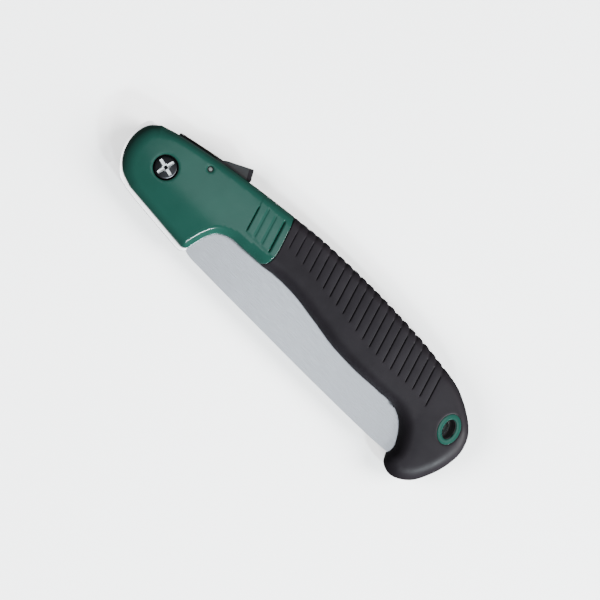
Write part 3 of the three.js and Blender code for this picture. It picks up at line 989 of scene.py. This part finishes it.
def cup_washer():
    """Very dark spring washer that lines the recess under the bolt's head."""
    profile = [(2.5, 6.9), (5.1, 6.9), (6.1, 7.15), (6.3, 7.5)]
    profile += [(6.2, 7.75), (6.0, 7.6), (5.2, 7.4), (2.5, 7.3)]
    sides = 64
    vertices = [(x, y, z) for r, z in profile for x, y in circle(0, 0, r, sides)]
    piece = new_object("pivot_cup_washer", vertices, ring_faces(len(profile), sides))
    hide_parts("spring_washer")
    return piece


def lever_spring():
    """Coil spring under the thumb pad."""
    turns, radius, wire, around, per_turn = 5, 1, 0.28, 10, 24
    count = turns * per_turn
    vertices, faces = [], []
    for i in range(count + 1):
        angle = 2 * pi * turns * i / count
        level = SPRING_LOW + (SPRING_HIGH - SPRING_LOW) * i / count
        for tilt in np.radians(np.arange(0, 360, 360 // around)):
            r = radius + wire * cos(tilt)
            vertices.append((SPRING_X + r * cos(angle), level + wire * sin(tilt), r * sin(angle)))
    for i in range(count):
        for k in range(around):
            a, b = i * around + k, i * around + (k + 1) % around
            faces.append((a, b, b + around, a + around))
    last = count * around
    faces += [tuple(range(around)), tuple(range(last, last + around))]
    piece = new_object("lever_spring", vertices, faces)
    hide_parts("lock_spring")
    return piece


def pivot_nut():
    outline = arc(0, 0, 4.95, 0, 300, 5)
    piece = plate("nut", outline, -10.0, -6.9, [circle(0, 0, 2.5, 32)], bevel=0.35, segments=3)
    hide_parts("pivot_nut")
    return piece


def pin_end():
    profile = [(0, -9.9), (0.9, -9.9), (1.08, -9.7), (1.08, 9.6), (0.9, 9.85), (0, 9.95)]
    piece = turned("lever_pin_ends", profile, *LEVER_PIN, sides=32)
    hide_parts("lever_pin")
    return piece


# ---------------- materials


class Nodes:
    """Small helper that builds one Principled material from noise, bumps and ramps."""

    def __init__(self, name, **inputs):
        self.material = bpy.data.materials.new(name)
        self.material.use_nodes = True
        self.tree = self.material.node_tree
        self.shader = self.tree.nodes["Principled BSDF"]
        for key, value in inputs.items():
            self.shader.inputs[key.replace("_", " ")].default_value = value
        self.coordinates = self.add("ShaderNodeTexCoord").outputs["Object"]
        self.normal = None

    def add(self, kind, **settings):
        node = self.tree.nodes.new(kind)
        for key, value in settings.items():
            if key in node.inputs:
                node.inputs[key].default_value = value
            else:
                setattr(node, key, value)
        return node

    def join(self, a, b):
        self.tree.links.new(a, b)

    def noise(self, scale, detail, stretch=(1, 1, 1)):
        mapping = self.add("ShaderNodeMapping")
        mapping.inputs["Scale"].default_value = stretch
        self.join(self.coordinates, mapping.inputs["Vector"])
        node = self.add("ShaderNodeTexNoise", Scale=scale, Detail=detail, Roughness=0.55)
        self.join(mapping.outputs["Vector"], node.inputs["Vector"])
        return node.outputs["Fac"]

    def ramp(self, factor, *stops):
        node = self.add("ShaderNodeValToRGB")
        for element, (position, colour) in zip(node.color_ramp.elements, stops):
            element.position = position
            element.color = (*colour, 1)
        self.join(factor, node.inputs["Fac"])
        return node.outputs["Color"]

    def span(self, factor, low, high):
        node = self.add("ShaderNodeMapRange")
        for key, value in {"From Min": 0.3, "From Max": 0.7, "To Min": low, "To Max": high}.items():
            node.inputs[key].default_value = value
        self.join(factor, node.inputs["Value"])
        return node.outputs["Result"]

    def bump(self, height, strength, depth):
        node = self.add("ShaderNodeBump", Strength=strength, Distance=depth * MM)
        self.join(height, node.inputs["Height"])
        if self.normal is not None:
            self.join(self.normal, node.inputs["Normal"])
        self.normal = node.outputs["Normal"]

    def finish(self, colour, roughness):
        self.join(colour, self.shader.inputs["Base Color"])
        self.join(roughness, self.shader.inputs["Roughness"])
        if self.normal is not None:
            self.join(self.normal, self.shader.inputs["Normal"])
        return self.material


def green_plastic():
    m = Nodes("green_plastic", Specular_IOR_Level=0.46, IOR=1.5)
    colour = m.ramp(m.noise(45, 3), (0.25, (0.0115, 0.070, 0.052)), (0.75, (0.0150, 0.084, 0.062)))
    m.bump(m.noise(1500, 2), 0.05, 0.05)
    m.bump(m.noise(160, 3), 0.06, 0.2)
    return m.finish(colour, m.span(m.noise(220, 4), 0.15, 0.22))


def black_rubber():
    m = Nodes("black_rubber", Specular_IOR_Level=0.2, IOR=1.5)
    colour = m.ramp(m.noise(60, 4), (0.3, (0.0155, 0.0122, 0.0152)), (0.7, (0.0225, 0.0180, 0.0218)))
    m.bump(m.noise(1800, 3), 0.22, 0.06)
    m.bump(m.noise(300, 3), 0.08, 0.15)
    return m.finish(colour, m.span(m.noise(180, 4), 0.44, 0.56))


def black_plastic():
    m = Nodes("black_plastic", Specular_IOR_Level=0.45, IOR=1.5)
    colour = m.ramp(m.noise(80, 3), (0.3, (0.028, 0.027, 0.028)), (0.7, (0.042, 0.040, 0.042)))
    m.bump(m.noise(2200, 2), 0.12, 0.05)
    return m.finish(colour, m.span(m.noise(240, 3), 0.42, 0.56))


def steel(name, low, high, rough, grain=(0.1, 4, 4), scale=60, strength=0.15, metallic=1.0):
    """Metal whose colour clouds between low and high. Its grain runs lengthwise unless it is even."""
    m = Nodes(name, Metallic=metallic)
    fine = m.noise(scale * 20, 3, grain)
    broad = m.noise(scale / 3, 3)
    colour = m.ramp(broad, (0.3, low), (0.7, high))
    m.bump(fine, strength, 0.02)
    return m.finish(colour, m.span(fine, *rough))


def dress(piece, material):
    piece.data.materials.clear()
    piece.data.materials.append(material)


def paint_edge_shade(piece, material):
    """Gives the edges of a plate a very dark material of their own: painted shade that outlines the plate's
    rim.
    """
    piece.data.materials.append(material)
    for face in piece.data.polygons:
        face.material_index = int(abs(face.normal.z) < 0.95)


GREEN = green_plastic()
RUBBER = black_rubber()
PLASTIC = black_plastic()
EVEN = {"grain": (0.1, 0.1, 0.1), "scale": 30}
BLADE_STEEL = steel("blade_steel", (0.75, 0.74, 0.80), (0.81, 0.80, 0.86), (0.24, 0.32), strength=0.07)
LINER_STEEL = steel("liner_steel", (0.90, 0.90, 0.91), (0.95, 0.95, 0.96), (0.34, 0.46), metallic=0.5)
# Very dark steel for the liners' edge faces: painted shade along their rim.
EDGE_SHADE_STEEL = steel("edge_shade_steel", (0.04, 0.04, 0.045), (0.08, 0.08, 0.085), (0.4, 0.55))
# Nearly black steel for the screws, the nut, the bush and the stop pin. On the domed screw heads this
# darkness is a painted reflection of dark surroundings in a chromed head.
SCREW_STEEL = steel("screw_steel", (0.045, 0.044, 0.05), (0.085, 0.083, 0.09), (0.26, 0.38), **EVEN)
# Very dark steel for the cup washer, and for the cores of the screws' crosses, where it is painted shade.
DARK_STEEL_AND_SHADE = steel("dark_steel_and_shade", (0.04, 0.04, 0.045), (0.07, 0.07, 0.075), (0.3, 0.45), **EVEN)
PIN_STEEL = steel("pin_steel", (0.42, 0.44, 0.42), (0.52, 0.54, 0.52), (0.35, 0.5), **EVEN)
# Near-white steel for the walls that the bars and the lip cut in the screws' crosses: a painted highlight.
PAINTED_HIGHLIGHT_STEEL = steel(
    "painted_highlight_steel", (0.93, 0.93, 0.94), (0.97, 0.97, 0.98), (0.3, 0.4), metallic=0.15, **EVEN,
)
PLATE_STEEL = steel("plate_steel", (0.36, 0.36, 0.37), (0.48, 0.48, 0.49), (0.28, 0.44))
BRONZE = steel(
    "washer_bronze", (0.42, 0.28, 0.12), (0.56, 0.38, 0.18), (0.35, 0.5), grain=(0.1, 0.1, 0.1), scale=40,
)

# ---------------- the pieces

for side in (1, -1):
    head, rubber = handle_half(side)
    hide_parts(f"{hand(side)}_shell")
    dress(head, GREEN)
    ring = hang_ring(side)
    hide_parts(f"{hand(side)}_shell")
    dress(ring, GREEN)
    # The hanging hole's dark wall is painted shade.
    dress(hang_hole_shade(side), RUBBER)
    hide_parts(f"{hand(side)}_grip")
    dress(rubber, RUBBER)
    liner_plate = liner(side)
    dress(liner_plate, LINER_STEEL)
    # The liner's edge faces get painted shade.
    paint_edge_shade(liner_plate, EDGE_SHADE_STEEL)
    dress(frame["nodes"][f"{hand(side)}_washer"], BRONZE)

dress(saw_blade(), BLADE_STEEL)
thumb_lever()
screw(
    "pivot_screw", "pivot_bolt", 0, 0, 1, head_r=5.6, head_low=7.8, head_high=10.0,
    shank_r=2.2, tail=-9.4, arm=4.6, turn=-14,
)
for number, spot in enumerate(SCREWS, 1):
    screw(
        f"handle_screw_{number}", f"shell_screw_{number}", *spot, -1, head_r=2.95, head_low=7.5,
        head_high=9.5, shank_r=1.4, tail=-6, arm=2.3, turn=20,
    )
dress(cup_washer(), DARK_STEEL_AND_SHADE)
dress(pivot_nut(), SCREW_STEEL)
coil = lever_spring()
dress(coil, PIN_STEEL)
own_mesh(coil)
dress(pin_end(), PIN_STEEL)
for node in ("pivot_bush", "stop_pin"):
    dress(frame["nodes"][node], SCREW_STEEL)
dress(frame["nodes"]["back_spacer"], LINER_STEEL)
dress(frame["nodes"]["lock_plate"], PLATE_STEEL)

# ---------------- floor, light and camera


def floor():
    """Plain pale floor. The saw doesn't mirror it and isn't lit by it."""
    mesh = bpy.data.meshes.new("floor")
    half, level = 4.0, cad_box[0][2] - 0.0002
    mesh.from_pydata(
        [(x * half, y * half, level) for x, y in ((-1, -1), (1, -1), (1, 1), (-1, 1))], [], [(0, 1, 2, 3)],
    )
    piece = add_object("floor", mesh)
    m = Nodes("floor_paper", Specular_IOR_Level=0.2)
    tone = m.ramp(m.noise(3, 2), (0.3, (0.90, 0.90, 0.90)), (0.7, (0.93, 0.93, 0.93)))
    piece.data.materials.append(m.finish(tone, m.span(m.noise(40, 2), 0.7, 0.8)))
    piece.visible_diffuse = False
    piece.visible_glossy = False
    return piece


def lamp(name, towards, away, width, power, colour=(1, 1, 1)):
    """Round lamp, in a direction from the saw and at a distance in metres, that faces the saw."""
    data = bpy.data.lights.new(name, "AREA")
    data.shape = "DISK"
    data.size = width
    data.energy = power
    data.color = colour
    piece = add_object(name, data)
    direction = Vector(towards).normalized()
    piece.location = direction * away
    piece.rotation_euler = direction.to_track_quat("Z", "Y").to_euler()
    return piece


TURN = radians(44.3)      # the saw lies diagonally across the frame
TILT = radians(6.5)       # the view leans a little towards the nose and the finger side
TILT_TOWARDS = (-0.8, -0.6)
LENS, SENSOR = 120, 36
VIEW_WIDTH = 300 * MM
AIM = place(93.9, 0.3, 0)


def camera():
    data = bpy.data.cameras.new("camera")
    data.lens = LENS
    data.sensor_width = SENSOR
    data.clip_start = 0.01
    view = add_object("camera", data)
    away = VIEW_WIDTH * LENS / SENSOR
    flat = Vector((*TILT_TOWARDS, 0)).normalized()
    back = (flat * sin(TILT) + Vector((0, 0, cos(TILT)))).normalized()
    up_hint = Vector((-sin(TURN), cos(TURN), 0))
    right = up_hint.cross(back).normalized()
    up = back.cross(right)
    turn = Matrix((right, up, back)).transposed()
    view.matrix_world = Matrix.Translation(AIM + back * away) @ turn.to_4x4()
    bpy.context.scene.camera = view


def world():
    scene_world = bpy.data.worlds.new("studio")
    scene_world.use_nodes = True
    back = scene_world.node_tree.nodes["Background"]
    back.inputs["Color"].default_value = (0.96, 0.97, 1.0, 1)
    back.inputs["Strength"].default_value = 0.165
    bpy.context.scene.world = scene_world


ground = floor()
COOL = (0.86, 0.97, 1.0)
lamp("key", (1.0, 0.4, 0.46), 1.8, 0.8, 34)
# These two draw the highlight along the step above the blade, and the next two veil the cheek.
lamp("ridge_1", (1.0, -0.22, 0.84), 1.6, 0.16, 30, COOL)
lamp("ridge_2", (0.85, -0.58, 0.84), 1.6, 0.16, 16, COOL)
lamp("top_head", (0.0, 0.076, 1.0), 1.8, 0.56, 0.95, COOL)
lamp("top_tail", (0.18, 0.076, 1.0), 1.8, 0.56, 0.95, COOL)
# The floor and the bright edges of the liners have strong lights of their own.
pale = bpy.data.collections.new("lit_by_floor_lights")
for piece in (ground, bpy.data.objects["liner_plate_left"], bpy.data.objects["liner_plate_right"]):
    pale.objects.link(piece)
for name, towards in (("floor_light_1", (0.65, 0.55, 0.8)), ("floor_light_2", (-0.65, -0.55, 0.8))):
    lamp(name, towards, 2.2, 1.4, 130).light_linking.receiver_collection = pale
world()
camera()
